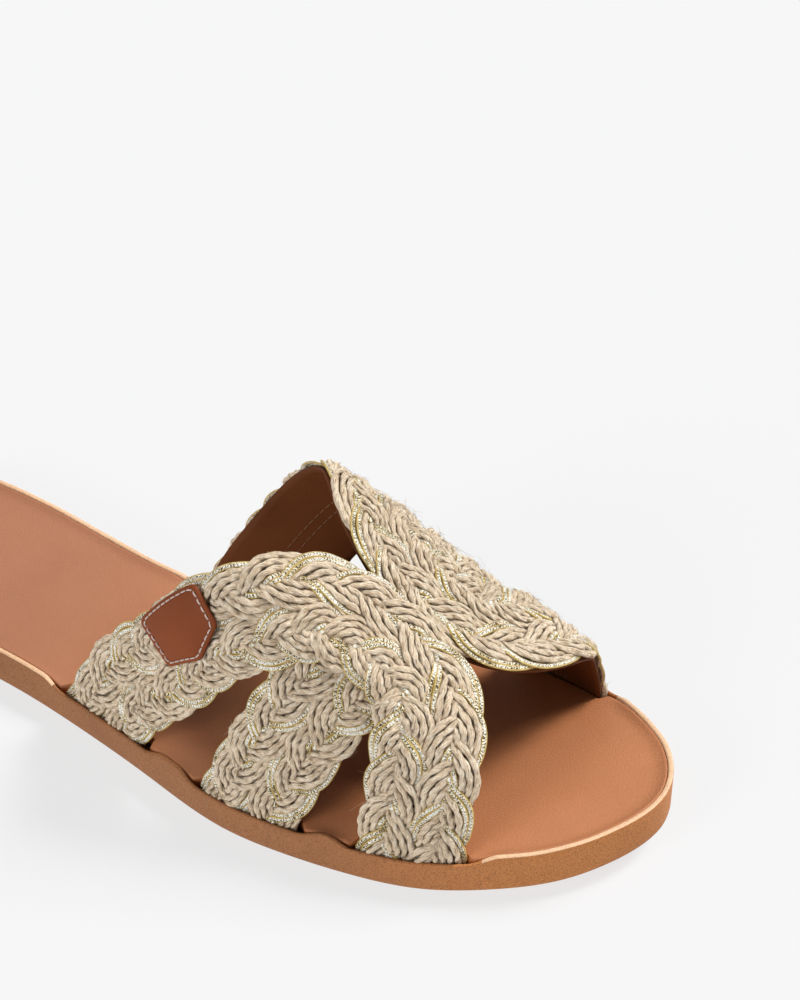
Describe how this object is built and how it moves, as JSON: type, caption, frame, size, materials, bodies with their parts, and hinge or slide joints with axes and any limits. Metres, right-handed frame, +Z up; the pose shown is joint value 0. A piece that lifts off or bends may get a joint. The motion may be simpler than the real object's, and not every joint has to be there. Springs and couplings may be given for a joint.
{
  "type": "rope sandal",
  "caption": "Flat slip-on sandal with a braided rope upper of two crossed arches, a leather footbed and a thin cup sole with toe spring.",
  "frame": {"origin": "middle of the sole's outline, on the plane that it stands on", "axes": "+X from heel to toe, +Y to the inner side of the right foot, +Z up"},
  "size_m": [0.255, 0.0888, 0.0747],
  "materials": {
    "tan_sole": "tan, speckled and softly grained",
    "tan_leather": "smooth grained leather, satin",
    "rope_braid": "twisted natural rope with metallic cords, matt and hairy",
    "brown_leather": "stitched brown leather, satin"
  },
  "bodies": {
    "root": {"outsole": "tan_sole", "footbed": "tan_leather", "upper": "rope_braid", "badge": "brown_leather"}
  },
  "joints": []
}
